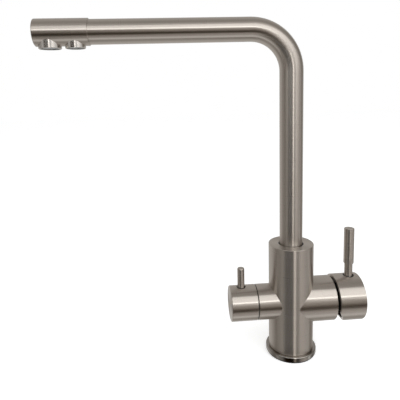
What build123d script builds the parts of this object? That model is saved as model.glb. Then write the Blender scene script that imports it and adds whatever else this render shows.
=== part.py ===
from build123d import *
from math import asin, cos, degrees, radians, sin, sqrt
import os

# Deck-mounted kitchen tap: a mixer valve in one side arm, a separate filtered-water
# valve in the other, and a swivel spout with two outlets in its head. Millimetres.
# Z is up, the deck is z = 0 and the Z axis is the column's axis. The spout and the
# filter knob point along -X, the mixer lever's arm along +X.

# ---- clearances ----
RUN = 0.06                # radial, between a shaft and its bore
FREE = 0.3                # between pieces that only pass each other
FACE = 0.05               # between flat faces that slide
OVER = 1.0                # how far a cutter runs past the face it opens

# ---- column and foot ----
BODY_R = 24.8
ARM_Z = 60.9              # height of both arms' axis
NECK_H = 67.5             # from the arms' axis to the column's top
EDGE = 0.4                # small edge breaks
GASKET_H, GASKET_STEP = 1.5, 0.8
RING_H, RING_STEP, RING_ROUND = 5.5, 3.4, 1.2
SPIGOT_STEP = 2.8         # from the column's radius to the spigot in the base ring
SPIGOT_WALL = 2.0

# ---- inlet block ----
BLOCK_TOP = 24.0
WAY_R = 3.0               # hot, cold and filter drillings
HOT_X, HOT_Y, FILTER_X = 9.0, 8.0, 11.0
HOSE_R, HOSE_DEPTH = 4.5, 10.0
STUD_R, STUD_Y, STUD_DEPTH = 3.4, 14.0, 14.0
SEAL_GAP, SEAL_SECTION = 1.6, 1.2
BOLT_R, BOLT_RISE, BOLT_HEAD_R, BOLT_HEAD_H, BOLT_SINK = 2.5, 10.0, 4.4, 5.0, 1.0
BOLT_KEY, BOLT_KEY_DEPTH = 4.0, 3.0

# ---- swivel in the column ----
TUBE_R, TUBE_WALL = 12.5, 1.2
BUSH_WALL, BUSH_LOWER_H, BUSH_UPPER_H, BUSH_SINK = 1.2, 5.0, 8.4, 1.5
CHAMBER_RISE = 23.1       # from the arms' axis to the chamber's floor
FLANGE_LIFT, FLANGE_H, SPIGOT_H, NOSE_H = 1.3, 12.7, 14.0, 4.0
MIX_WAYS, MIX_WAY_R, MIX_WAY_OFFSET = 6, 1.8, 7.9
RING_GROOVE, RING_DEPTH, RING_INSET = 2.0, 1.5, 2.0
NOSE_DEPTH, NOSE_GROOVE, NOSE_INSET = 0.95, 1.6, 2.0
SHANK_BORE_STEP, FILTER_TUBE_SEAT = 0.6, 3.0
SWIVEL_LIMIT = 150.0      # degrees that the spout turns each way from where it rests
STOP_RISE, STOP_GROOVE, STOP_DEPTH, STOP_PLAY = 7.5, 3.4, 1.6, 0.5
GRUB_R, GRUB_TIP_R, GRUB_KEY, GRUB_KEY_DEPTH, GRUB_SINK = 2.5, 1.5, 2.5, 3.5, 4.6

# ---- spout ----
SPOUT_Z, BEND_R, REACH = 361.0, 43.5, 260.8
HEAD_LENGTH, HEAD_STEP, HEAD_WALL, HEAD_END_WALL, HEAD_SOCKET = 53.5, 1.1, 1.5, 2.5, 4.0
END_ROUND = 0.8
FILTER_TUBE_R, FILTER_TUBE_WALL, FILTER_BEND_GAP = 4.0, 0.8, 3.0
NOZZLE_DROP, NOZZLE_WALL, NOZZLE_SIDE, NOZZLE_GAP, OUTLET_STEP = 2.4, 1.5, 0.8, 3.76, 1.26
NOZZLE_END_GAP = 0.2      # between the head's end wall and the first nozzle
MOUTH, MOUTH_STEP, SEAL_LIP, AERATOR_TOP_T, OUTLET_TOP_T = 0.8, 0.5, 2.2, 3.0, 4.0
AERATOR_H, STRAIGHTENER_H, JET_R = 5.7, 3.0, 0.95
AERATOR_RINGS, AERATOR_PITCH = 3, 2.75          # rings of jets round the middle one
STRAIGHTENER_RINGS, STRAIGHTENER_PITCH = 2, 2.8
JETS_ADDED = 6                                  # how many more jets each ring has

# ---- mixer arm and cartridge ----
MIX_ARM_END = 46.2
CARTRIDGE_R, THREAD_STEP, MIX_ARM_WALL = 17.5, 1.7, 5.5
CARTRIDGE_H, COLLAR_H, NUT_H, NUT_SETBACK = 20.0, 8.0, 7.0, 12.2
CARTRIDGE_WALL, COLLAR_STEP, NECK_WALL, BASE_T, ROOF_T = 3.5, 0.5, 4.5, 3.0, 2.0
PORT_R, PORT_Y, PORT_DROP, PORT_RISE = 3.2, 8.0, 6.0, 9.0
MIXED_WALL = 0.8          # between the mixed water's riser and the cartridge's seat
PORT_SEAL_LIP, PORT_SEAL_GROOVE, PORT_SEAL_SECTION = 0.6, 1.6, 1.4
FIXED_DISC_T, MOVING_DISC_T, DISC_SETBACK, DISC_DROP = 3.5, 2.95, 1.9, 1.4
MIX_HOLLOW_R, MIX_HOLLOW_T, MIX_HOLLOW_RISE = 7.2, 1.9, 3.0
SLIDER_H, SLIDER_FLOOR, SLIDER_FLAT = 5.4, 0.8, 11.8
GUIDE_SLOT, GUIDE_PLAY, RAIL_GAP = 15.2, 0.1, 0.2
PIVOT_SETBACK, PIVOT_PIN_R, NECK_OVERHANG = 4.0, 1.5, 3.0
STEM_W, STEM_H, STEM_SETBACK = 8.0, 7.0, 1.2
FOOT_R, FOOT_ARM, FOOT_STEP, FOOT_FLAT_R = 3.0, 10.4, 0.2, 0.8
COVER_STEP, COVER_H, COVER_TAPER_H, COVER_TAPER, COVER_ROOF, COVER_BORE = 0.6, 12.5, 7.3, 2.8, 2.5, 15.0
COVER_MOUTH = 9.5

# ---- mixer handle ----
CAP_GAP, CAP_LENGTH, CAP_WALL, CAP_STEP = 2.8, 29.5, 3.0, 1.1
SLANT_DROP, SLANT_RUN = 6.6, 9.6      # the cap's lower face slants back below this drop
LEVER_OFFSET, LEVER_R, LEVER_NECK_R = 18.2, 5.6, 4.5
LEVER_NECK_H, LEVER_H, LEVER_SEAT = 40.1, 81.0, 6.0
CAP_BOSS_R, CAP_BOSS_X, LEVER_BOSS_WALL, GRUB_BOSS_WALL, STEM_GRUB_X = 9.0, 20.5, 3.2, 2.5, 4.0
COLLAR_WIDTH, COLLAR_SINK, COLLAR_T = 1.6, 2.6, 1.9
GRUB_L, GRUB_SEAT, PLUG_R, PLUG_L = 7.5, 8.0, 3.0, 5.0

# ---- filter valve and knob ----
KNOB_R, KNOB_JOINT, KNOB_GAP, KNOB_LENGTH, KNOB_WALL = 19.6, 40.1, 0.8, 29.1, 3.0
POCKET_L, POCKET_R = 24.1, 10.0
RELIEF_START, RELIEF_END, RELIEF_DEPTH, FILTER_OUT_R = 8.5, 15.0, 2.0, 2.2
FILTER_OUT_RISE, FILTER_OUT_CLIMB = 11.9, 4.1
HEADWORK_WALL, HEADWORK_SEAL_T, HEADWORK_SEAL_R = 1.8, 1.0, 5.0
HEX_CLEAR, HEX_H, HEADWORK_NECK_R, HEADWORK_NECK_H = 2.8, 4.9, 8.0, 8.9
VALVE_DISC_T, VALVE_HOLE_R, VALVE_HOLE_Y, SIDE_PORT_R, SIDE_PORT_X = 3.0, 2.2, 4.2, 2.0, 10.3
SPINDLE_R, SPINDLE_FOOT_T, SPINDLE_WAIST_R, SPINDLE_COLLAR_T, SPINDLE_SQUARE = 4.95, 2.0, 3.2, 1.2, 6.9
HEADWORK_BORE_L, SPINDLE_GROOVE_X, SPINDLE_GROOVE, SPINDLE_GROOVE_DEPTH = 14.0, 21.5, 1.8, 1.05
GLIDE_STEP, GLIDE_CLEAR = 0.8, 0.8
KNOB_BOSS_R, KNOB_BOSS_X, SQUARE_END = 7.5, 9.0, 8.0
PIN_SETBACK, PIN_R, PIN_H, PIN_SEAT, PIN_ROUND, PIN_BOSS_WALL = 12.8, 4.0, 41.6, 8.0, 1.2, 2.6
PIN_COLLAR_WIDTH, PIN_COLLAR_SINK, PIN_COLLAR_T = 1.2, 2.2, 1.6
KNOB_GRUB_R, KNOB_GRUB_L, KNOB_GRUB_SEAT, KNOB_GRUB_KEY, KNOB_GRUB_KEY_DEPTH = 2.0, 5.5, 6.0, 2.0, 2.5
KNOB_GRUB_WALL, KNOB_PLUG_R, KNOB_PLUG_L = 2.6, 2.5, 4.0

# ---- worked out from the sizes above ----
FOOT_Z = GASKET_H + RING_H
BOLT_END = BLOCK_TOP + BOLT_RISE
BODY_TOP = ARM_Z + NECK_H
RING_R = BODY_R + RING_STEP
SPIGOT_R = BODY_R - SPIGOT_STEP
BLOCK_R = SPIGOT_R - SPIGOT_WALL
CHAMBER_R = TUBE_R + BUSH_WALL
CHAMBER_Z = ARM_Z + CHAMBER_RISE
SOCKET_R = FILTER_TUBE_R + 2 * FREE
STOP_Z = CHAMBER_Z + STOP_RISE
FLANGE_Z = CHAMBER_Z + FLANGE_LIFT
TUBE_Z = FLANGE_Z + FLANGE_H
TUBE_BORE = TUBE_R - TUBE_WALL
TUBE_SEAT_Z = FLANGE_Z + FILTER_TUBE_SEAT
SHANK_R = CHAMBER_R - FREE
STOP_ROOT = SHANK_R - STOP_DEPTH
STOP_HALF_ANGLE = 180 - SWIVEL_LIMIT - degrees(asin(GRUB_TIP_R / STOP_ROOT)) - STOP_PLAY
HEAD_X = HEAD_LENGTH - REACH
TUBE_END = HEAD_X - HEAD_SOCKET
HEAD_R = TUBE_R + HEAD_STEP
HEAD_BORE = HEAD_R - HEAD_WALL
AERATOR_R = HEAD_BORE - NOZZLE_SIDE
OUTLET_R = AERATOR_R - OUTLET_STEP
AERATOR_X = HEAD_END_WALL + NOZZLE_END_GAP + AERATOR_R - REACH
OUTLET_X = AERATOR_X + AERATOR_R + NOZZLE_GAP + OUTLET_R
NOZZLE_Z = SPOUT_Z - HEAD_R - NOZZLE_DROP
AERATOR_TOP = SPOUT_Z - sqrt(HEAD_BORE**2 - AERATOR_R**2) + FACE
OUTLET_TOP = SPOUT_Z - sqrt(HEAD_BORE**2 - OUTLET_R**2) + FACE
THREAD_R = CARTRIDGE_R + THREAD_STEP
MIX_ARM_R = THREAD_R + MIX_ARM_WALL
NUT_X = MIX_ARM_END - NUT_SETBACK
SEAT_X = NUT_X - CARTRIDGE_H
PIVOT_X = NUT_X + PIVOT_SETBACK
FOOT_X = PIVOT_X - FOOT_ARM
CARTRIDGE_BORE = CARTRIDGE_R - CARTRIDGE_WALL
COLLAR_R = CARTRIDGE_BORE + COLLAR_STEP
NECK_BORE = COLLAR_R - NECK_WALL
DISC_X = SEAT_X + BASE_T + FIXED_DISC_T + FACE
SLIDER_X = DISC_X + MOVING_DISC_T
GUIDE_X = SLIDER_X + SLIDER_H + 2 * FACE
CAP_R = MIX_ARM_R + CAP_STEP
CAP_X = MIX_ARM_END + CAP_GAP
CAP_END = CAP_X + CAP_LENGTH
LEVER_X = CAP_X + LEVER_OFFSET
STEM_END = LEVER_X - STEM_SETBACK
BOSS_X = PIVOT_X + CAP_BOSS_X
GRUB_X = BOSS_X + STEM_GRUB_X
KNOB_X = KNOB_JOINT + KNOB_GAP
KNOB_END = KNOB_X + KNOB_LENGTH
PIN_X = KNOB_END - PIN_SETBACK
POCKET_X = KNOB_JOINT - POCKET_L
HEADWORK_BORE = POCKET_R - HEADWORK_WALL
HEX_R = KNOB_R - KNOB_WALL - HEX_CLEAR
PORTS = {
    "hot": (-PORT_Y, ARM_Z - PORT_DROP),
    "cold": (PORT_Y, ARM_Z - PORT_DROP),
    "mixed": (0.0, ARM_Z + PORT_RISE),
}
INLETS = {"hot": (HOT_X, -HOT_Y), "cold": (HOT_X, HOT_Y), "filter": (-FILTER_X, 0.0)}


def along_x(x0, x1, r, y=0.0, z=ARM_Z):
    return Pos((x0 + x1) / 2, y, z) * Rot(0, 90, 0) * Cylinder(r, abs(x1 - x0))


def along_y(y0, y1, r, x=0.0, z=ARM_Z):
    return Pos(x, (y0 + y1) / 2, z) * Rot(90, 0, 0) * Cylinder(r, abs(y1 - y0))


def along_z(z0, z1, r, x=0.0, y=0.0):
    return Pos(x, y, (z0 + z1) / 2) * Cylinder(r, abs(z1 - z0))


def ring_x(x0, x1, outer, inner, y=0.0, z=ARM_Z):
    return along_x(x0, x1, outer, y, z) - along_x(x0 - OVER, x1 + OVER, inner, y, z)


def ring_z(z0, z1, outer, inner, x=0.0, y=0.0):
    return along_z(z0, z1, outer, x, y) - along_z(z0 - OVER, z1 + OVER, inner, x, y)


def bar_x(x0, x1, width, height, z=ARM_Z):
    return Pos((x0 + x1) / 2, 0, z) * Box(abs(x1 - x0), width, height)


def key_y(x, y0, y1, z, across):
    """A hexagonal socket along Y, measured across its flats."""
    return extrude(Plane(origin=(x, y0, z), z_dir=(0, 1, 0)) * RegularPolygon(across / sqrt(3), 6), y1 - y0)


def between(a, b, r):
    """A cylinder from one point to another."""
    a, b = Vector(*a), Vector(*b)
    return Plane(origin=(a + b) * 0.5, z_dir=(b - a)) * Cylinder(r, (b - a).length)


def profile_xz(points):
    return make_face(Polyline(*[(x, 0, z) for x, z in points], close=True))


def rims(part, axis, place):
    """The circular edges of a part that lie at one place along an axis."""
    found = part.edges().filter_by(GeomType.CIRCLE)
    return [e for e in found if abs(getattr(e.arc_center, axis) - place) < FACE / 2]


def oring_z(root, outer, x, y, z):
    section = (outer - root) / 2
    return Pos(x, y, z) * Torus(root + section, section)


def oring_x(root, outer, x, y=0.0, z=ARM_Z):
    section = (outer - root) / 2
    return Pos(x, y, z) * Rot(0, 90, 0) * Torus(root + section, section)


def circle_of(count, radius):
    for i in range(count):
        turn = radians((i + 0.5) * 360 / count)
        yield radius * cos(turn), radius * sin(turn)


def save(name, part):
    part.label = name
    export_step(part, f"parts/{name}.step")


def base_gasket():
    gasket = along_z(0, GASKET_H, RING_R - GASKET_STEP)
    gasket = chamfer(rims(gasket, "Z", 0), EDGE)
    return gasket - along_z(-OVER, GASKET_H + OVER, BLOCK_R + OVER)


def base_ring():
    ring = along_z(GASKET_H, FOOT_Z, RING_R)
    ring = fillet(rims(ring, "Z", FOOT_Z), RING_ROUND)
    ring = chamfer(rims(ring, "Z", GASKET_H), EDGE)
    return ring - along_z(GASKET_H - OVER, FOOT_Z + OVER, SPIGOT_R)


def waterways():
    """The drillings from the inlet block to both valves and on to the swivel chamber."""
    low_z, high_z = ARM_Z - PORT_DROP, ARM_Z + PORT_RISE
    ways = along_z(BLOCK_TOP - OVER, ARM_Z + WAY_R, WAY_R, -FILTER_X)
    ways += along_x(-POCKET_X - OVER, -FILTER_X, WAY_R)
    for y in (-HOT_Y, HOT_Y):
        ways += along_z(BLOCK_TOP - OVER, low_z + WAY_R, WAY_R, HOT_X, y)
        ways += along_x(HOT_X, SEAT_X + OVER, WAY_R, y, low_z)
    mixed_x = SEAT_X - PORT_R - MIXED_WALL
    ways += along_x(mixed_x, SEAT_X + OVER, PORT_R, 0, high_z)
    ways += along_z(high_z, CHAMBER_Z + OVER, PORT_R, mixed_x)
    out_x, out_z = POCKET_X + (RELIEF_START + RELIEF_END) / 2, ARM_Z + FILTER_OUT_RISE
    ways += between((-out_x, 0, out_z), (-OVER, 0, out_z + FILTER_OUT_CLIMB), FILTER_OUT_R)
    ways += along_z(out_z, CHAMBER_Z + OVER, SOCKET_R)
    return ways


def body_shell():
    column = along_z(FOOT_Z, BODY_TOP, BODY_R)
    column = chamfer(rims(column, "Z", BODY_TOP) + rims(column, "Z", FOOT_Z), EDGE)
    mixer_arm = along_x(0, MIX_ARM_END, MIX_ARM_R)
    mixer_arm = chamfer(rims(mixer_arm, "X", MIX_ARM_END), EDGE)
    filter_arm = along_x(-KNOB_JOINT, 0, KNOB_R)
    filter_arm = chamfer(rims(filter_arm, "X", -KNOB_JOINT), EDGE)
    body = column + mixer_arm + filter_arm + along_z(GASKET_H, FOOT_Z + OVER, SPIGOT_R)
    body -= along_z(GASKET_H - OVER, BLOCK_TOP, BLOCK_R)
    body -= along_z(CHAMBER_Z, BODY_TOP + OVER, CHAMBER_R)
    body -= along_x(SEAT_X, MIX_ARM_END + OVER, CARTRIDGE_R)
    body -= along_x(NUT_X, MIX_ARM_END + OVER, THREAD_R)
    body -= along_x(-KNOB_JOINT - OVER, -POCKET_X, POCKET_R)
    body -= along_x(-POCKET_X - RELIEF_END, -POCKET_X - RELIEF_START, POCKET_R + RELIEF_DEPTH)
    body -= waterways()
    body -= along_z(BLOCK_TOP - OVER, BOLT_END + OVER, BOLT_R)
    body -= along_y(CHAMBER_R - OVER, BODY_R + OVER, GRUB_R, z=STOP_Z)
    mouth = min(rims(body, "Z", BODY_TOP), key=lambda e: e.radius)
    return chamfer(mouth, EDGE)


def inlet_block():
    inlets = along_z(0, BLOCK_TOP, BLOCK_R)
    groove_in, groove_out = WAY_R + SEAL_GAP - OVER, WAY_R + SEAL_GAP + OVER
    for x, y in INLETS.values():
        inlets -= along_z(-OVER, HOSE_DEPTH, HOSE_R, x, y) + along_z(0, BLOCK_TOP + OVER, WAY_R, x, y)
        inlets -= ring_z(BLOCK_TOP - SEAL_SECTION, BLOCK_TOP + OVER, groove_out, groove_in, x, y)
    for y in (-STUD_Y, STUD_Y):
        inlets -= along_z(-OVER, STUD_DEPTH, STUD_R, 0, y)
    inlets -= along_z(-OVER, BOLT_SINK + BOLT_HEAD_H, BOLT_HEAD_R)
    return inlets - along_z(0, BLOCK_TOP + OVER, BOLT_R)


def block_screw():
    screw = along_z(BOLT_SINK, BOLT_SINK + BOLT_HEAD_H, BOLT_HEAD_R)
    screw += along_z(BOLT_SINK + BOLT_HEAD_H - OVER, BOLT_END, BOLT_R)
    return screw - extrude(RegularPolygon(BOLT_KEY / sqrt(3), 6), BOLT_SINK + BOLT_KEY_DEPTH)


def block_seals():
    for name, (x, y) in INLETS.items():
        centre = WAY_R + SEAL_GAP
        half = SEAL_SECTION / 2
        save(f"block_seal_{name}", oring_z(centre - half, centre + half, x, y, BLOCK_TOP - half))


def cartridge():
    """The fixed pieces of the mixer cartridge."""
    housing = along_x(SEAT_X, NUT_X, CARTRIDGE_R) + along_x(NUT_X - OVER, NUT_X + COLLAR_H, COLLAR_R)
    housing -= along_x(SEAT_X + BASE_T, NUT_X - ROOF_T, CARTRIDGE_BORE)
    housing -= along_x(NUT_X - ROOF_T - OVER, NUT_X + COLLAR_H + OVER, NECK_BORE)
    disc = along_x(SEAT_X + BASE_T, SEAT_X + BASE_T + FIXED_DISC_T, CARTRIDGE_BORE)
    lip = PORT_R + PORT_SEAL_LIP
    for name, (y, z) in PORTS.items():
        housing -= along_x(SEAT_X - OVER, SEAT_X + BASE_T + OVER, PORT_R, y, z)
        housing -= ring_x(SEAT_X - OVER, SEAT_X + PORT_SEAL_SECTION, lip + PORT_SEAL_GROOVE, lip, y, z)
        disc -= along_x(SEAT_X, GUIDE_X, PORT_R, y, z)
        start = lip + (PORT_SEAL_GROOVE - PORT_SEAL_SECTION) / 2
        seal = oring_x(start, start + PORT_SEAL_SECTION, SEAT_X + PORT_SEAL_SECTION / 2, y, z)
        save(f"port_seal_{name}", seal)
    save("cartridge_housing", housing)
    save("fixed_disc", disc)
    save("cartridge_nut", ring_x(NUT_X, NUT_X + NUT_H, THREAD_R, COLLAR_R))


def nut_cover():
    """A hollow dome over the nut: what shows as black in the gap beside the handle."""
    start, outer = NUT_X + NUT_H, THREAD_R - COVER_STEP
    end = start + COVER_H
    outline = [
        (start, COVER_BORE),
        (start, outer),
        (end - COVER_TAPER_H, outer),
        (end, outer - COVER_TAPER),
        (end, COVER_MOUTH),
        (end - COVER_ROOF, COVER_MOUTH),
        (end - COVER_ROOF, COVER_BORE),
    ]
    return revolve(profile_xz([(x, ARM_Z + r) for x, r in outline]), Axis((0, 0, ARM_Z), (1, 0, 0)))


def moving_disc():
    disc_z, disc_r = ARM_Z - DISC_DROP, CARTRIDGE_BORE - DISC_SETBACK
    disc = along_x(DISC_X, DISC_X + MOVING_DISC_T, disc_r, z=disc_z)
    return disc - along_x(DISC_X - OVER, DISC_X + MIX_HOLLOW_T, MIX_HOLLOW_R, z=disc_z + MIX_HOLLOW_RISE)


def disc_slider():
    disc_r = CARTRIDGE_BORE - DISC_SETBACK
    slider = along_x(SLIDER_X, SLIDER_X + SLIDER_H, disc_r, z=ARM_Z - DISC_DROP)
    slider &= bar_x(SLIDER_X, SLIDER_X + SLIDER_H, 2 * SLIDER_FLAT, 4 * disc_r)
    return slider - along_x(SLIDER_X + SLIDER_FLOOR, GUIDE_X + OVER, FOOT_R + FREE)


def stem_guide():
    outer = CARTRIDGE_BORE - FREE
    guide = along_x(GUIDE_X, NUT_X - ROOF_T - FREE, outer)
    guide += along_x(GUIDE_X, PIVOT_X + NECK_OVERHANG, NECK_BORE - RUN)
    rails = along_x(SLIDER_X + FREE, GUIDE_X + OVER, outer)
    guide += rails - bar_x(SLIDER_X, GUIDE_X + 2 * OVER, 2 * (SLIDER_FLAT + RAIL_GAP), 4 * outer)
    guide -= bar_x(GUIDE_X - OVER, PIVOT_X + NECK_OVERHANG + OVER, STEM_W + 2 * GUIDE_PLAY, GUIDE_SLOT)
    return guide - along_y(-CARTRIDGE_R, CARTRIDGE_R, PIVOT_PIN_R, PIVOT_X)


def stem_pin():
    half = NECK_BORE - RUN - FREE
    return along_y(-half, half, PIVOT_PIN_R, PIVOT_X)


def stem_foot(end):
    """A ball with a small flat on its tip and a slightly slimmer neck, turned as one profile."""
    neck = FOOT_R - FOOT_STEP
    tip = FOOT_X - sqrt(FOOT_R**2 - FOOT_FLAT_R**2)
    throat = FOOT_X + sqrt(FOOT_R**2 - neck**2)
    start, finish = (tip, 0, ARM_Z + FOOT_FLAT_R), (throat, 0, ARM_Z + neck)
    ball = ThreePointArc(start, (FOOT_X, 0, ARM_Z + FOOT_R), finish)
    rest = Polyline(finish, (end, 0, ARM_Z + neck), (end, 0, ARM_Z), (tip, 0, ARM_Z), start)
    return revolve(make_face(ball + rest), Axis((0, 0, ARM_Z), (1, 0, 0)))


def stem_lever():
    stem = bar_x(GUIDE_X + 2 * OVER, STEM_END, STEM_W, STEM_H) + stem_foot(GUIDE_X + 3 * OVER)
    return stem - along_y(-STEM_W, STEM_W, PIVOT_PIN_R + RUN, PIVOT_X)


def handle_cap():
    cap = along_x(CAP_X, CAP_END, CAP_R)
    cap = fillet(rims(cap, "X", CAP_END), END_ROUND)
    cap = chamfer(rims(cap, "X", CAP_X), EDGE)
    cap -= along_x(CAP_X - OVER, CAP_END - CAP_WALL, CAP_R - CAP_WALL)
    inside = along_x(CAP_X + OVER, CAP_END - OVER, CAP_R - OVER)
    bosses = along_z(ARM_Z, ARM_Z + CAP_R, LEVER_NECK_R + LEVER_BOSS_WALL, LEVER_X)
    bosses += along_y(0, CAP_R, GRUB_R + GRUB_BOSS_WALL, GRUB_X)
    cap += along_x(BOSS_X, CAP_END - OVER, CAP_BOSS_R) + (bosses & inside)
    cap -= bar_x(BOSS_X - OVER, STEM_END, STEM_W, STEM_H)
    apex, bottom = ARM_Z - SLANT_DROP, ARM_Z - CAP_R - OVER
    left = CAP_X - OVER
    slant = profile_xz([(left, apex), (CAP_X, apex), (CAP_X + SLANT_RUN, bottom), (left, bottom)])
    cap -= extrude(slant, CAP_R + OVER, both=True)
    top = ARM_Z + CAP_R
    cap -= along_z(ARM_Z + LEVER_SEAT, top + OVER, LEVER_NECK_R, LEVER_X)
    cap -= along_z(top - COLLAR_SINK, top + OVER, LEVER_NECK_R + COLLAR_WIDTH, LEVER_X)
    cap -= along_y(STEM_W / 2 - OVER, CAP_R + OVER, GRUB_R, GRUB_X)
    return cap - along_y(STEM_W / 2 + GRUB_SEAT, CAP_R + OVER, PLUG_R, GRUB_X)


def lever_rod():
    grip = along_z(ARM_Z + LEVER_NECK_H, ARM_Z + LEVER_H, LEVER_R, LEVER_X)
    grip = chamfer(rims(grip, "Z", ARM_Z + LEVER_H) + rims(grip, "Z", ARM_Z + LEVER_NECK_H), EDGE)
    return grip + along_z(ARM_Z + LEVER_SEAT, ARM_Z + LEVER_NECK_H + OVER, LEVER_NECK_R, LEVER_X)


def lever_collar():
    start = ARM_Z + CAP_R - COLLAR_SINK
    return ring_z(start, start + COLLAR_T, LEVER_NECK_R + COLLAR_WIDTH, LEVER_NECK_R, LEVER_X)


def handle_screw():
    start = STEM_W / 2
    screw = along_y(start, start + GRUB_L, GRUB_R, GRUB_X)
    return screw - key_y(GRUB_X, start + GRUB_L - GRUB_KEY_DEPTH, start + GRUB_L + OVER, ARM_Z, GRUB_KEY)


def handle_plug():
    plug = along_y(CAP_R - PLUG_L, CAP_R + OVER, PLUG_R, GRUB_X)
    return plug & along_x(CAP_X, CAP_END, CAP_R)


def headwork_body():
    headwork = along_x(-KNOB_JOINT, -POCKET_X - HEADWORK_SEAL_T, POCKET_R)
    hexagon = Plane(origin=(-KNOB_JOINT, 0, ARM_Z), z_dir=(-1, 0, 0)) * RegularPolygon(HEX_R, 6)
    headwork += extrude(hexagon, HEX_H)
    headwork += along_x(-KNOB_JOINT - HEADWORK_NECK_H, -KNOB_JOINT, HEADWORK_NECK_R)
    headwork -= along_x(-POCKET_X - HEADWORK_BORE_L, -POCKET_X, HEADWORK_BORE)
    headwork -= along_x(-KNOB_JOINT - HEADWORK_NECK_H - OVER, -POCKET_X, SPINDLE_R + FACE)
    port_x = -POCKET_X - SIDE_PORT_X
    headwork -= along_z(ARM_Z - POCKET_R - OVER, ARM_Z + POCKET_R + OVER, SIDE_PORT_R, port_x)
    return headwork - along_y(-POCKET_R - OVER, POCKET_R + OVER, SIDE_PORT_R, port_x)


def filter_valve():
    """The seal, the two discs, the spindle and its ring inside the headwork."""
    seal_end = -POCKET_X - HEADWORK_SEAL_T
    save("headwork_seal", ring_x(seal_end, -POCKET_X, POCKET_R, HEADWORK_SEAL_R))
    fixed_end = seal_end - VALVE_DISC_T
    turning_end = fixed_end - VALVE_DISC_T
    turning_r = HEADWORK_BORE - FREE
    fixed = along_x(fixed_end, seal_end, HEADWORK_BORE)
    turning = along_x(turning_end, fixed_end - FACE, turning_r)
    spindle = along_x(turning_end - SPINDLE_FOOT_T, turning_end, turning_r)
    for side in (-VALVE_HOLE_Y, VALVE_HOLE_Y):
        fixed -= along_x(fixed_end - OVER, seal_end + OVER, VALVE_HOLE_R, 0, ARM_Z + side)
        turning -= along_x(turning_end - OVER, fixed_end + OVER, VALVE_HOLE_R, side)
        spindle -= along_x(turning_end - SPINDLE_FOOT_T - OVER, turning_end + OVER, VALVE_HOLE_R, side)
    save("valve_fixed_disc", fixed)
    save("valve_turning_disc", turning)
    collar_end = -POCKET_X - HEADWORK_BORE_L + FREE
    neck_end = -KNOB_JOINT - HEADWORK_NECK_H
    square_end = -KNOB_END + SQUARE_END
    spindle += along_x(collar_end, turning_end - OVER, SPINDLE_WAIST_R)
    spindle += along_x(collar_end, collar_end + SPINDLE_COLLAR_T, turning_r)
    spindle += along_x(neck_end, collar_end + OVER / 2, SPINDLE_R)
    spindle += bar_x(square_end, neck_end + OVER / 2, SPINDLE_SQUARE, SPINDLE_SQUARE)
    middle = -POCKET_X - SPINDLE_GROOVE_X
    root = SPINDLE_R - SPINDLE_GROOVE_DEPTH
    spindle -= ring_x(middle - SPINDLE_GROOVE / 2, middle + SPINDLE_GROOVE / 2, SPINDLE_R + OVER, root)
    save("filter_spindle", spindle)
    save("spindle_oring", oring_x(root, SPINDLE_R + FACE / 2, middle))


def glide_ring():
    return ring_x(-KNOB_X + FACE, -KNOB_JOINT, KNOB_R - GLIDE_STEP, HEX_R + GLIDE_CLEAR)


def knob_shell():
    knob = along_x(-KNOB_END, -KNOB_X, KNOB_R)
    knob = fillet(rims(knob, "X", -KNOB_END), END_ROUND)
    knob = chamfer(rims(knob, "X", -KNOB_X), EDGE)
    knob -= along_x(-KNOB_END + KNOB_WALL, -KNOB_X + OVER, KNOB_R - KNOB_WALL)
    inside = along_x(-KNOB_END + OVER, -KNOB_X - OVER, KNOB_R - OVER)
    bosses = along_z(ARM_Z, ARM_Z + KNOB_R, PIN_R + PIN_BOSS_WALL, -PIN_X)
    bosses += along_y(0, KNOB_R, KNOB_GRUB_R + KNOB_GRUB_WALL, -PIN_X)
    knob += along_x(-KNOB_END + OVER, -KNOB_X - KNOB_BOSS_X, KNOB_BOSS_R) + (bosses & inside)
    knob -= bar_x(-KNOB_END + SQUARE_END, -KNOB_X, SPINDLE_SQUARE, SPINDLE_SQUARE)
    top = ARM_Z + KNOB_R
    knob -= along_z(ARM_Z + PIN_SEAT, top + OVER, PIN_R, -PIN_X)
    knob -= along_z(top - PIN_COLLAR_SINK, top + OVER, PIN_R + PIN_COLLAR_WIDTH, -PIN_X)
    knob -= along_y(SPINDLE_SQUARE / 2 - OVER, KNOB_R + OVER, KNOB_GRUB_R, -PIN_X)
    return knob - along_y(SPINDLE_SQUARE / 2 + KNOB_GRUB_SEAT, KNOB_R + OVER, KNOB_PLUG_R, -PIN_X)


def knob_pin():
    pin = along_z(ARM_Z + PIN_SEAT, ARM_Z + PIN_H, PIN_R, -PIN_X)
    return fillet(rims(pin, "Z", ARM_Z + PIN_H), PIN_ROUND)


def pin_collar():
    start = ARM_Z + KNOB_R - PIN_COLLAR_SINK
    return ring_z(start, start + PIN_COLLAR_T, PIN_R + PIN_COLLAR_WIDTH, PIN_R, -PIN_X)


def knob_screw():
    start = SPINDLE_SQUARE / 2
    end = start + KNOB_GRUB_L
    screw = along_y(start, end, KNOB_GRUB_R, -PIN_X)
    return screw - key_y(-PIN_X, end - KNOB_GRUB_KEY_DEPTH, end + OVER, ARM_Z, KNOB_GRUB_KEY)


def knob_plug():
    plug = along_y(KNOB_R - KNOB_PLUG_L, KNOB_R + OVER, KNOB_PLUG_R, -PIN_X)
    return plug & along_x(-KNOB_END, -KNOB_X, KNOB_R)


def spout_screw():
    """The grub screw behind the column, whose tip holds the spout in by its groove."""
    end = BODY_R - GRUB_SINK
    screw = along_y(CHAMBER_R + FREE, end, GRUB_R, z=STOP_Z)
    screw += along_y(STOP_ROOT + FREE, CHAMBER_R + OVER, GRUB_TIP_R, z=STOP_Z)
    return screw - key_y(0, end - GRUB_KEY_DEPTH, end + OVER, STOP_Z, GRUB_KEY)


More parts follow.
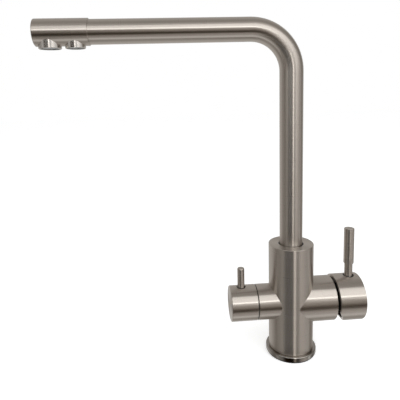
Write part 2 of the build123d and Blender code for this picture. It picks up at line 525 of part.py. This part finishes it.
def stop_groove():
    """A groove round the shank, left solid in front so that the swivel has an end."""
    low, high = STOP_Z - STOP_GROOVE / 2, STOP_Z + STOP_GROOVE / 2
    groove = ring_z(low, high, SHANK_R + OVER, STOP_ROOT)
    under = low - OVER
    side = 2 * SHANK_R * sin(radians(STOP_HALF_ANGLE))
    front = -2 * SHANK_R * cos(radians(STOP_HALF_ANGLE))
    land = make_face(Polyline((0, 0, under), (-side, front, under), (side, front, under), close=True))
    return groove - extrude(land, STOP_GROOVE + 2 * OVER, dir=(0, 0, 1))


def spout_shank():
    """The plug in the riser's foot: it turns in the chamber, passes the mixed water
    through its ways and carries the filtered water through its middle."""
    nose_r = SOCKET_R - FACE
    low, high = CHAMBER_Z - NOSE_H, TUBE_Z + SPIGOT_H
    shank = along_z(FLANGE_Z, TUBE_Z, SHANK_R) + along_z(TUBE_Z - OVER, high, TUBE_BORE)
    shank += along_z(low, FLANGE_Z + OVER, nose_r)
    shank -= along_z(low - OVER, TUBE_Z, FILTER_TUBE_R - FILTER_TUBE_WALL - SHANK_BORE_STEP)
    shank -= along_z(TUBE_SEAT_Z, high + OVER, FILTER_TUBE_R)
    for x, y in circle_of(MIX_WAYS, MIX_WAY_OFFSET):
        shank -= along_z(FLANGE_Z - OVER, high + OVER, MIX_WAY_R, x, y)
    root = SHANK_R - RING_DEPTH
    for name, z in (("lower", FLANGE_Z + RING_INSET), ("upper", TUBE_Z - RING_INSET)):
        shank -= ring_z(z - RING_GROOVE / 2, z + RING_GROOVE / 2, SHANK_R + OVER, root)
        save(f"shank_oring_{name}", oring_z(root, CHAMBER_R - FACE, 0, 0, z))
    nose_z, nose_root = CHAMBER_Z - NOSE_INSET, nose_r - NOSE_DEPTH
    shank -= ring_z(nose_z - NOSE_GROOVE / 2, nose_z + NOSE_GROOVE / 2, nose_r + OVER, nose_root)
    save("nose_oring", oring_z(nose_root, nose_r + FACE / 2, 0, 0, nose_z))
    return shank - stop_groove()


def bushes():
    lower = TUBE_Z + OVER
    upper = BODY_TOP - BUSH_SINK
    save("bush_lower", ring_z(lower, lower + BUSH_LOWER_H, CHAMBER_R, TUBE_R + RUN))
    save("bush_upper", ring_z(upper - BUSH_UPPER_H, upper, CHAMBER_R, TUBE_R + RUN))


def spout_tube():
    spine = FilletPolyline((0, 0, TUBE_Z), (0, 0, SPOUT_Z), (TUBE_END, 0, SPOUT_Z), radius=BEND_R)
    start = Plane((0, 0, TUBE_Z))
    return sweep(start * Circle(TUBE_R), path=spine) - sweep(start * Circle(TUBE_BORE), path=spine)


def filter_tube():
    """The filtered water's own tube, up the riser and along to the second outlet."""
    middle, end = TUBE_END / 2, OUTLET_TOP - OUTLET_TOP_T
    rise = FilletPolyline((0, 0, TUBE_SEAT_Z), (0, 0, SPOUT_Z), (middle, 0, SPOUT_Z), radius=BEND_R)
    bend = FILTER_TUBE_R + FILTER_BEND_GAP
    fall = FilletPolyline((middle, 0, SPOUT_Z), (OUTLET_X, 0, SPOUT_Z), (OUTLET_X, 0, end), radius=bend)
    foot = Plane((0, 0, TUBE_SEAT_Z))
    along = Plane(origin=(middle, 0, SPOUT_Z), z_dir=(-1, 0, 0))

    def run(r):
        return sweep(foot * Circle(r), path=rise) + sweep(along * Circle(r), path=fall)

    return run(FILTER_TUBE_R) - run(FILTER_TUBE_R - FILTER_TUBE_WALL)


def spout_head():
    head = along_x(-REACH, HEAD_X, HEAD_R, z=SPOUT_Z)
    head = fillet(rims(head, "X", -REACH), END_ROUND)
    head = chamfer(rims(head, "X", HEAD_X), EDGE)
    head -= along_x(-REACH + HEAD_END_WALL, TUBE_END, HEAD_BORE, z=SPOUT_Z)
    head -= along_x(TUBE_END - OVER, HEAD_X + OVER, TUBE_R, z=SPOUT_Z)
    head -= along_z(NOZZLE_Z - OVER, AERATOR_TOP, AERATOR_R, AERATOR_X)
    return head - along_z(NOZZLE_Z - OVER, OUTLET_TOP, OUTLET_R, OUTLET_X)


def jets(x, z0, z1, rings, pitch):
    """Small water passages in rings round a vertical axis, with one in the middle."""
    holes = [along_z(z0 - OVER, z1 + OVER, JET_R, x)]
    for ring in range(1, rings + 1):
        for dx, dy in circle_of(JETS_ADDED * ring, pitch * ring):
            holes.append(along_z(z0 - OVER, z1 + OVER, JET_R, x + dx, dy))
    return holes


def nozzle(x, r, top, roof, opening):
    """A nozzle with a shallow, slightly wider mouth below what it holds."""
    shell = along_z(NOZZLE_Z, top, r, x)
    shell = chamfer(rims(shell, "Z", NOZZLE_Z), EDGE)
    shell -= along_z(NOZZLE_Z - OVER, top - roof, r - NOZZLE_WALL, x)
    shell -= along_z(NOZZLE_Z - OVER, NOZZLE_Z + MOUTH, r - NOZZLE_WALL + MOUTH_STEP, x)
    return shell - along_z(NOZZLE_Z, top + OVER, opening, x)


def outlets():
    """Both nozzles in the head, with what shapes their water."""
    bore, low = AERATOR_R - NOZZLE_WALL, NOZZLE_Z + MOUTH + FREE
    high = low + AERATOR_H
    insert = along_z(low, high, bore, AERATOR_X)
    save("aerator_housing", nozzle(AERATOR_X, AERATOR_R, AERATOR_TOP, AERATOR_TOP_T, bore - SEAL_LIP))
    save("aerator_insert", insert - jets(AERATOR_X, low, high, AERATOR_RINGS, AERATOR_PITCH))
    save("aerator_seal", ring_z(high, AERATOR_TOP - AERATOR_TOP_T, bore, bore - SEAL_LIP, AERATOR_X))
    save("filter_nozzle", nozzle(OUTLET_X, OUTLET_R, OUTLET_TOP, OUTLET_TOP_T, FILTER_TUBE_R))
    high = low + STRAIGHTENER_H
    grid = along_z(low, high, OUTLET_R - NOZZLE_WALL, OUTLET_X)
    save("filter_straightener", grid - jets(OUTLET_X, low, high, STRAIGHTENER_RINGS, STRAIGHTENER_PITCH))


os.makedirs("parts", exist_ok=True)
SINGLE = (
    base_gasket, base_ring, body_shell, inlet_block, block_screw,
    nut_cover, moving_disc, disc_slider, stem_guide, stem_pin, stem_lever,
    handle_cap, lever_rod, lever_collar, handle_screw, handle_plug,
    headwork_body, glide_ring, knob_shell, knob_pin, pin_collar, knob_screw, knob_plug,
    spout_screw, spout_shank, spout_tube, filter_tube, spout_head,
)
for make in SINGLE:
    save(make.__name__, make())
block_seals()
cartridge()
filter_valve()
bushes()
outlets()
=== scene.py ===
from math import cos, pi, radians, sin

import bpy
from mathutils import Matrix, Vector


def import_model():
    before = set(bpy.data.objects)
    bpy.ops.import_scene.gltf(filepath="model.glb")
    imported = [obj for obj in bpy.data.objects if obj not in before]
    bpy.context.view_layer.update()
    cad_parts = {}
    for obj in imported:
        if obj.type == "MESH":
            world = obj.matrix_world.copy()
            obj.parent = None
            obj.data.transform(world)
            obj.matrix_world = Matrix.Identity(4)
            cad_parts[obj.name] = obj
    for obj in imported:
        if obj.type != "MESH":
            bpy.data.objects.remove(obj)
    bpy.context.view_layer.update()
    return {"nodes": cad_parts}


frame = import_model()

NODES = frame["nodes"]

# ---- sizes that the materials follow, in metres, as in the part's source ----
ARM_Z = 0.0609
COLUMN_R = 0.0248
BEND_R = 0.0435
SPOUT_Z = 0.361
BEND_Z = SPOUT_Z - BEND_R
LEVER_X = 0.0672
PIN_X = -0.0572

# ---- colours ----
NICKEL, NICKEL_DARK = (0.530, 0.490, 0.447), (0.500, 0.460, 0.417)
WHITE = (1.0, 1.0, 1.0)


# ---- node helpers ----
class Tree:
    """A node tree with its output, for a material or for the world."""

    def __init__(self, name, store=bpy.data.materials, end="ShaderNodeOutputMaterial"):
        self.owner = store.new(name)
        self.owner.use_nodes = True
        self.nodes = self.owner.node_tree.nodes
        self.links = self.owner.node_tree.links
        self.nodes.clear()
        self.out = self.add(end)

    def add(self, kind, **values):
        node = self.nodes.new(kind)
        for key, value in values.items():
            setattr(node, key, value)
        return node

    def put(self, value, socket):
        if isinstance(value, bpy.types.NodeSocket):
            self.links.new(value, socket)
        else:
            socket.default_value = value

    def math(self, operation, *values):
        node = self.add("ShaderNodeMath", operation=operation)
        for i, value in enumerate(values):
            self.put(value, node.inputs[i])
        return node.outputs[0]

    def plus(self, a, b):
        return self.math("ADD", a, b)

    def minus(self, a, b):
        return self.math("SUBTRACT", a, b)

    def times(self, a, b):
        return self.math("MULTIPLY", a, b)

    def radius(self, a, b):
        return self.math("SQRT", self.plus(self.times(a, a), self.times(b, b)))

    def join(self, x, y, z):
        node = self.add("ShaderNodeCombineXYZ")
        for socket, value in zip(node.inputs, (x, y, z)):
            self.put(value, socket)
        return node.outputs[0]

    def split(self, vector):
        node = self.add("ShaderNodeSeparateXYZ")
        self.put(vector, node.inputs[0])
        return node.outputs

    def coordinates(self, kind):
        return self.add("ShaderNodeTexCoord").outputs[kind]

    def noise(self, vector, scale=1.0, detail=2.0, roughness=0.5):
        node = self.add("ShaderNodeTexNoise")
        self.put(vector, node.inputs["Vector"])
        node.inputs["Scale"].default_value = scale
        node.inputs["Detail"].default_value = detail
        node.inputs["Roughness"].default_value = roughness
        return node.outputs["Fac"]

    def spread(self, value, low, high, to_low=0.0, to_high=1.0):
        node = self.add("ShaderNodeMapRange")
        self.put(value, node.inputs["Value"])
        limits = {"From Min": low, "From Max": high, "To Min": to_low, "To Max": to_high}
        for name, number in limits.items():
            node.inputs[name].default_value = number
        return node.outputs[0]

    def blend(self, factor, a, b):
        node = self.add("ShaderNodeMix", data_type="RGBA")
        self.put(factor, node.inputs[0])
        for value, socket in ((a, node.inputs[6]), (b, node.inputs[7])):
            self.put(value if isinstance(value, bpy.types.NodeSocket) else (*value, 1.0), socket)
        return node.outputs[2]

    def bump(self, height, strength, distance):
        node = self.add("ShaderNodeBump")
        node.inputs["Strength"].default_value = strength
        node.inputs["Distance"].default_value = distance
        self.put(height, node.inputs["Height"])
        return node.outputs[0]

    def ramp(self, value, stops):
        node = self.add("ShaderNodeValToRGB")
        self.put(value, node.inputs[0])
        band = node.color_ramp
        while len(band.elements) > 1:
            band.elements.remove(band.elements[-1])
        for i, (place, colour) in enumerate(stops):
            stop = band.elements[0] if i == 0 else band.elements.new(place)
            stop.position = place
            stop.color = (*colour, 1.0)
        return node.outputs[0]

    def rays(self):
        """The light path, and 1 for what the camera sees, directly or through glass."""
        path = self.add("ShaderNodeLightPath").outputs
        return path, self.math("MAXIMUM", path["Is Camera Ray"], path["Is Transmission Ray"])

    def surface(self, **values):
        shader = self.add("ShaderNodeBsdfPrincipled")
        for name, value in values.items():
            self.put(value, shader.inputs[name.replace("_", " ")])
        self.put(shader.outputs[0], self.out.inputs["Surface"])
        return self.owner


# ---- metals: brushed round their axis, so reflections smear across the lines ----
FINE, COARSE = 4200.0, 1500.0     # noise cells per metre along the piece, in two layers
FINE_SHARE, COARSE_SHARE = 0.6, 0.4
ROUND = 26.0                      # noise cells per metre across it, so the lines run long
BRUSHED_ROUGH, ROD_ROUGH = 0.29, 0.28
END_FACE = 0.7                    # a face turned to its axis by more than this is an end
SEAM = 0.00012                    # an arm begins this far outside the column, in metres
CORE, RANGE = (0.35, 0.65), (0.3, 0.7)     # where a noise value mostly and nearly always is


def brushed(tree, length, across, tangent, rough=BRUSHED_ROUGH):
    """Lines at equal lengths along the piece; across is a pair that varies round it."""
    def lines(rate):
        return tree.join(tree.times(length, rate), *(tree.times(value, ROUND) for value in across))

    both = tree.plus(
        tree.times(tree.noise(lines(FINE), detail=2.0, roughness=0.6), FINE_SHARE),
        tree.times(tree.noise(lines(COARSE), detail=3.0, roughness=0.55), COARSE_SHARE),
    )
    # The tangent is worked out in the piece's own frame, and turns with the piece at a pose.
    turning = tree.add(
        "ShaderNodeVectorTransform", vector_type="VECTOR", convert_from="OBJECT", convert_to="WORLD"
    )
    tree.put(tangent, turning.inputs[0])
    return tree.surface(
        Base_Color=tree.blend(tree.spread(both, *CORE), NICKEL_DARK, NICKEL),
        Metallic=1.0,
        Roughness=tree.spread(both, *RANGE, rough - 0.02, rough + 0.03),
        Anisotropic=1.0,
        Tangent=turning.outputs[0],
        Normal=tree.bump(both, strength=0.05, distance=0.00003),
    )


def turned(tree, axis, away_a, away_b):
    """Distance from the axis and tangent for a turned piece, whose end faces hold circles."""
    normal = tree.split(tree.coordinates("Normal"))["XYZ".index(axis)]
    end = tree.math("GREATER_THAN", tree.math("ABSOLUTE", normal), END_FACE)
    side = tree.minus(1.0, end)
    out_a, out_b = tree.times(away_a, end), tree.times(away_b, end)
    parts = (side, out_a, out_b) if axis == "X" else (out_a, out_b, side)
    return tree.radius(away_a, away_b), parts


def brushed_z(name, centre_x, **options):
    tree = Tree(name)
    x, y, z = tree.split(tree.coordinates("Object"))
    beside = tree.minus(x, centre_x)
    radius, parts = turned(tree, "Z", beside, y)
    return brushed(tree, tree.plus(z, radius), (beside, y), tree.join(*parts), **options)


def brushed_x(name, centre_z):
    tree = Tree(name)
    x, y, z = tree.split(tree.coordinates("Object"))
    above = tree.minus(z, centre_z)
    radius, parts = turned(tree, "X", y, above)
    return brushed(tree, tree.plus(x, radius), (y, above), tree.join(*parts))


def brushed_body(name):
    """The column is brushed about Z and both arms about X; they meet at the column's radius."""
    tree = Tree(name)
    x, y, z = tree.split(tree.coordinates("Object"))
    above = tree.minus(z, ARM_Z)
    column_r, column = turned(tree, "Z", x, y)
    arm_r, arm = turned(tree, "X", y, above)
    on_arm = tree.math("GREATER_THAN", column_r, COLUMN_R + SEAM)

    def pick(for_column, for_arm):
        return tree.plus(
            tree.times(for_column, tree.minus(1.0, on_arm)),
            tree.times(for_arm, on_arm),
        )

    length = pick(tree.plus(z, column_r), tree.plus(x, arm_r))
    tangent = tree.join(*(pick(a, b) for a, b in zip(column, arm)))
    return brushed(tree, length, (pick(x, above), y), tangent)


def brushed_spout(name):
    """The lines turn with the bend: lengths are measured along the tube's own centre line."""
    tree = Tree(name)
    x, y, z = tree.split(tree.coordinates("Object"))
    dx = tree.math("MAXIMUM", tree.plus(x, BEND_R), 0.0)
    dz = tree.math("MAXIMUM", tree.minus(z, BEND_Z), 0.0)
    offset = tree.minus(tree.radius(dx, dz), BEND_R)
    turn = tree.times(tree.math("ARCTAN2", dz, dx), BEND_R)
    run = tree.math("MAXIMUM", tree.times(tree.plus(x, BEND_R), -1.0), 0.0)
    length = tree.plus(tree.plus(tree.math("MINIMUM", z, BEND_Z), turn), run)
    return brushed(tree, length, (offset, y), tree.join(tree.times(dz, -1.0), 0.0, dx))


def polished(name, colour, rough):
    """Polished metal, with a slow unevenness of colour and gloss."""
    tree = Tree(name)
    smears = tree.noise(tree.coordinates("Object"), scale=160.0, detail=3.0)
    darker = [channel * 0.95 for channel in colour]
    return tree.surface(
        Base_Color=tree.blend(tree.spread(smears, *CORE), darker, colour),
        Metallic=1.0,
        Roughness=tree.spread(smears, *RANGE, rough, rough + 0.04),
        Normal=tree.bump(smears, strength=0.02, distance=0.00005),
    )


def machined(name, dark, light, rough):
    """Machined brass or steel, for the pieces that are mostly out of sight."""
    tree = Tree(name)
    marks = tree.noise(tree.coordinates("Object"), scale=900.0, detail=3.0)
    return tree.surface(
        Base_Color=tree.blend(marks, dark, light),
        Metallic=1.0,
        Roughness=tree.spread(marks, *RANGE, rough, rough + 0.12),
        Normal=tree.bump(marks, strength=0.12, distance=0.00005),
    )


def moulded(name, dark, light, rough, grain, relief, shine=0.5):
    """Rubber, plastic and ceramic: a fine surface grain with slow unevenness of colour."""
    tree = Tree(name)
    pebble = tree.noise(tree.coordinates("Object"), scale=grain, detail=3.0)
    cloud = tree.noise(tree.coordinates("Object"), scale=60.0)
    return tree.surface(
        Base_Color=tree.blend(cloud, dark, light),
        Roughness=tree.spread(pebble, *RANGE, rough - 0.05, rough + 0.07),
        Specular_IOR_Level=shine,
        Normal=tree.bump(pebble, strength=relief, distance=0.00006),
    )


def paint(material, *names):
    for name in names:
        for slot in NODES[name].material_slots:
            slot.material = material


paint(brushed_body("nickel_body"), "body_shell")
paint(brushed_spout("nickel_spout"), "spout_tube")
paint(brushed_x("nickel_head", SPOUT_Z), "spout_head")
paint(brushed_x("nickel_handles", ARM_Z), "handle_cap", "knob_shell", "handle_plug", "knob_plug")
paint(brushed_z("nickel_lever", LEVER_X, rough=ROD_ROUGH), "lever_rod")
paint(brushed_z("nickel_pin", PIN_X, rough=ROD_ROUGH), "knob_pin")
# The ring's metal colour is set darker than the real metal: painted shade, standing in for the dark
# surroundings that the polished ring reflects.
paint(polished("polished_ring_painted_shade", (0.350, 0.328, 0.303), rough=0.09), "base_ring")
paint(
    polished("polished_outlet", (0.640, 0.615, 0.585), rough=0.16),
    "aerator_housing", "filter_nozzle",
)
paint(
    machined("brass", (0.50, 0.35, 0.13), (0.66, 0.48, 0.22), rough=0.28),
    "inlet_block", "cartridge_nut", "headwork_body", "spout_shank", "filter_spindle",
)
paint(
    machined("steel", (0.40, 0.40, 0.41), (0.54, 0.54, 0.55), rough=0.26),
    "block_screw", "spout_screw", "filter_tube", "stem_pin", "stem_lever", "handle_screw",
    "knob_screw",
)
paint(
    moulded(
        "rubber", (0.010, 0.010, 0.010), (0.020, 0.020, 0.020),
        rough=0.36, grain=1500.0, relief=0.14,
    ),
    "base_gasket", "block_seal_hot", "block_seal_cold", "block_seal_filter", "port_seal_hot",
    "port_seal_cold", "port_seal_mixed", "headwork_seal", "shank_oring_lower",
    "shank_oring_upper", "nose_oring", "aerator_seal", "spindle_oring",
)
paint(
    moulded(
        "black_plastic", (0.006, 0.006, 0.007), (0.012, 0.012, 0.013),
        rough=0.52, grain=2200.0, relief=0.16, shine=0.3,
    ),
    "nut_cover", "glide_ring", "bush_upper", "lever_collar", "pin_collar",
)
paint(
    moulded(
        "white_plastic", (0.74, 0.74, 0.72), (0.82, 0.82, 0.80),
        rough=0.42, grain=1800.0, relief=0.10,
    ),
    "cartridge_housing", "bush_lower",
)
paint(
    moulded(
        "grey_plastic", (0.36, 0.37, 0.38), (0.45, 0.46, 0.47),
        rough=0.40, grain=1800.0, relief=0.10,
    ),
    "aerator_insert", "filter_straightener", "stem_guide", "disc_slider",
)
paint(
    moulded(
        "ceramic", (0.80, 0.79, 0.76), (0.88, 0.87, 0.84),
        rough=0.18, grain=900.0, relief=0.03,
    ),
    "fixed_disc", "moving_disc", "valve_fixed_disc", "valve_turning_disc",
)

# ---- studio ----
# What the metal reflects beside the two softbox lamps: soft panels, each (from, to, level) in
# degrees, with a fade from one to the next. They stand in for the white background that the
# camera sees, which the metal does not reflect. ROWS go by angle about the X axis: 0 is level
# in front, 90 overhead, -90 below and 180 level behind. COLUMNS are a factor by direction round
# the tap, 0 in front and 90 towards +X, which fades out towards overhead and below.
ROWS = (
    (-180, -125, 0.66),       # floor behind
    (-104, -88, 0.44),        # floor below
    (-78, -69, 0.84),         # floor in front, lit from above
    (-60, -49, 0.42),
    (-43, -41, 0.30),
    (-33, -22, 0.045),        # dark end of the floor
    (-14, -12, 0.20),
    (-6, 2, 0.34),            # wall in front
    (11, 60, 0.66),
    (70, 90, 0.43),           # gap above the tap
    (112, 180, 0.56),         # wall behind
)
COLUMNS = (
    (-180, -132, 0.95),
    (-112, -72, 0.62),
    (-64, -56, 0.85),
    (-38, -4, 0.04),          # dark flag on the left
    (3.5, 6, 4.60),           # narrow strip light
    (11, 22, 0.86),
    (30, 50, 1.85),           # window on the right
    (68, 85, 1.10),
    (100, 118, 0.52),         # dark flag on the right
    (130, 180, 0.95),
)
ROWS_BROWN, COLUMNS_BROWN = 0.24, 0.95     # how brown the darkest panels are
COLUMNS_FADE = (0.45, 0.80)   # where COLUMNS fade in, with 0 straight up or down and 1 level
BRIGHTEST = 5.0               # the level that a ramp's colour of 1 stands for
ROOM_LIGHT = 0.55             # the world's level for diffuse rays
DAYLIGHT = (0.950, 0.982, 1.0)
FLOOR_REACH = 6.0             # from the tap to the middle of each side of the floor, in metres
FLOOR_GREY = 0.90
FLOOR_GLOW = 0.50             # brings the floor up to the world's white, and keeps the shadow

# ---- camera: the photograph's own, as fitted to the outline ----
CAMERA_PLACE = Vector((-0.13161, -0.43389, 0.29436))
PITCH, YAW, ROLL = radians(8.17), radians(4.25), radians(-1.63)
SENSOR_WIDTH, LENS, SHIFT_Y = 36.0, 37.03, -0.1125


def warm(level, brown=0.0):
    """A dim part of the room is a little browner than a bright one; brown adds to a dark one."""
    share = min(level, 1.0)
    brown *= (1.0 - share) ** 8
    blue = (0.86 + 0.14 * share) * (1.0 - brown)
    return level * (1.0 + brown), level * (0.93 + 0.07 * share), level * blue


def in_ramp(level, brown=0.0):
    return [channel / BRIGHTEST for channel in warm(level, brown)]


def panel_ramp(tree, angle, panels, brown):
    """A ramp over the full circle, from panels in order of angle."""
    stops = [
        ((place + 180) / 360, in_ramp(level, brown))
        for low, high, level in panels
        for place in (low, high)
    ]
    return tree.ramp(tree.spread(angle, -pi, pi), stops)


def reflected(tree):
    """The panels by rows and by columns, multiplied."""
    x, y, z = tree.split(tree.coordinates("Generated"))
    ahead = tree.times(y, -1.0)
    rows = panel_ramp(tree, tree.math("ARCTAN2", z, ahead), ROWS, ROWS_BROWN)
    columns = panel_ramp(tree, tree.math("ARCTAN2", x, ahead), COLUMNS, COLUMNS_BROWN)
    sideways = tree.spread(tree.radius(x, y), *COLUMNS_FADE)
    both = tree.add("ShaderNodeVectorMath", operation="MULTIPLY")
    tree.put(rows, both.inputs[0])
    tree.put(tree.blend(sideways, in_ramp(1.0), columns), both.inputs[1])
    scale = tree.add("ShaderNodeVectorMath", operation="SCALE")
    tree.put(both.outputs[0], scale.inputs[0])
    tree.put(BRIGHTEST**2, scale.inputs["Scale"])
    return scale.outputs[0]


def world():
    """White to the camera and through glass, panels to metal, and a plain even light otherwise."""
    tree = Tree("studio", bpy.data.worlds, "ShaderNodeOutputWorld")
    path, seen = tree.rays()
    lit = tree.blend(path["Is Glossy Ray"], (ROOM_LIGHT,) * 3, reflected(tree))
    sky = tree.add("ShaderNodeBackground")
    tree.put(tree.blend(seen, lit, WHITE), sky.inputs["Color"])
    tree.put(sky.outputs[0], tree.out.inputs["Surface"])
    tree.owner.cycles.sampling_method = "NONE"
    bpy.context.scene.world = tree.owner


def floor():
    mesh = bpy.data.meshes.new("floor")
    near, far = -FLOOR_REACH, FLOOR_REACH
    corners = [(near, near, 0), (far, near, 0), (far, far, 0), (near, far, 0)]
    mesh.from_pydata(corners, [], [(0, 1, 2, 3)])
    obj = bpy.data.objects.new("floor", mesh)
    bpy.context.scene.collection.objects.link(obj)
    tree = Tree("pale_floor")
    _, seen = tree.rays()
    mesh.materials.append(
        tree.surface(
            Base_Color=(FLOOR_GREY, FLOOR_GREY, FLOOR_GREY, 1.0),
            Roughness=0.9,
            Specular_IOR_Level=0.0,
            Emission_Color=(*WHITE, 1.0),
            Emission_Strength=tree.times(seen, FLOOR_GLOW),
        )
    )
    obj.visible_glossy = False


def lamp(name, place, aim, size, level, mirrored=False):
    """An area light; level is the brightness of its face, where a white panel is 1."""
    data = bpy.data.lights.new(name, "AREA")
    data.shape, data.size, data.size_y = "RECTANGLE", *size
    data.energy = level * pi * size[0] * size[1]
    data.color = DAYLIGHT
    obj = bpy.data.objects.new(name, data)
    obj.location = place
    obj.rotation_mode = "QUATERNION"
    obj.rotation_quaternion = (Vector(aim) - Vector(place)).to_track_quat("-Z", "Y")
    obj.visible_glossy = mirrored
    bpy.context.scene.collection.objects.link(obj)


def camera():
    forward = Vector((sin(YAW) * cos(PITCH), cos(YAW) * cos(PITCH), -sin(PITCH)))
    flat = Vector((cos(YAW), -sin(YAW), 0.0))
    upright = flat.cross(forward)
    right = flat * cos(ROLL) + upright * sin(ROLL)
    up = upright * cos(ROLL) - flat * sin(ROLL)
    data = bpy.data.cameras.new("camera")
    data.sensor_width, data.lens, data.shift_y = SENSOR_WIDTH, LENS, SHIFT_Y
    data.clip_start, data.clip_end = 0.01, 50.0
    obj = bpy.data.objects.new("camera", data)
    turn = Matrix((right, up, -forward)).transposed()
    obj.matrix_world = Matrix.Translation(CAMERA_PLACE) @ turn.to_4x4()
    bpy.context.scene.collection.objects.link(obj)
    bpy.context.scene.camera = obj


bpy.context.scene.view_settings.view_transform = "Standard"
camera()
world()
floor()
lamp(
    "softbox",
    place=(0.0, -1.14, 0.789), aim=(0.0, -1.284, -0.20), size=(3.0, 1.72), level=0.72,
    mirrored=True,
)
lamp(
    "softbox_edge",
    place=(0.0, -1.95, 0.90), aim=(0.0, 0.0, 0.20), size=(3.0, 0.26), level=1.8,
    mirrored=True,
)
lamp("fill", place=(1.3, -0.7, 1.1), aim=(0.0, 0.0, 0.15), size=(1.2, 1.2), level=1.6)
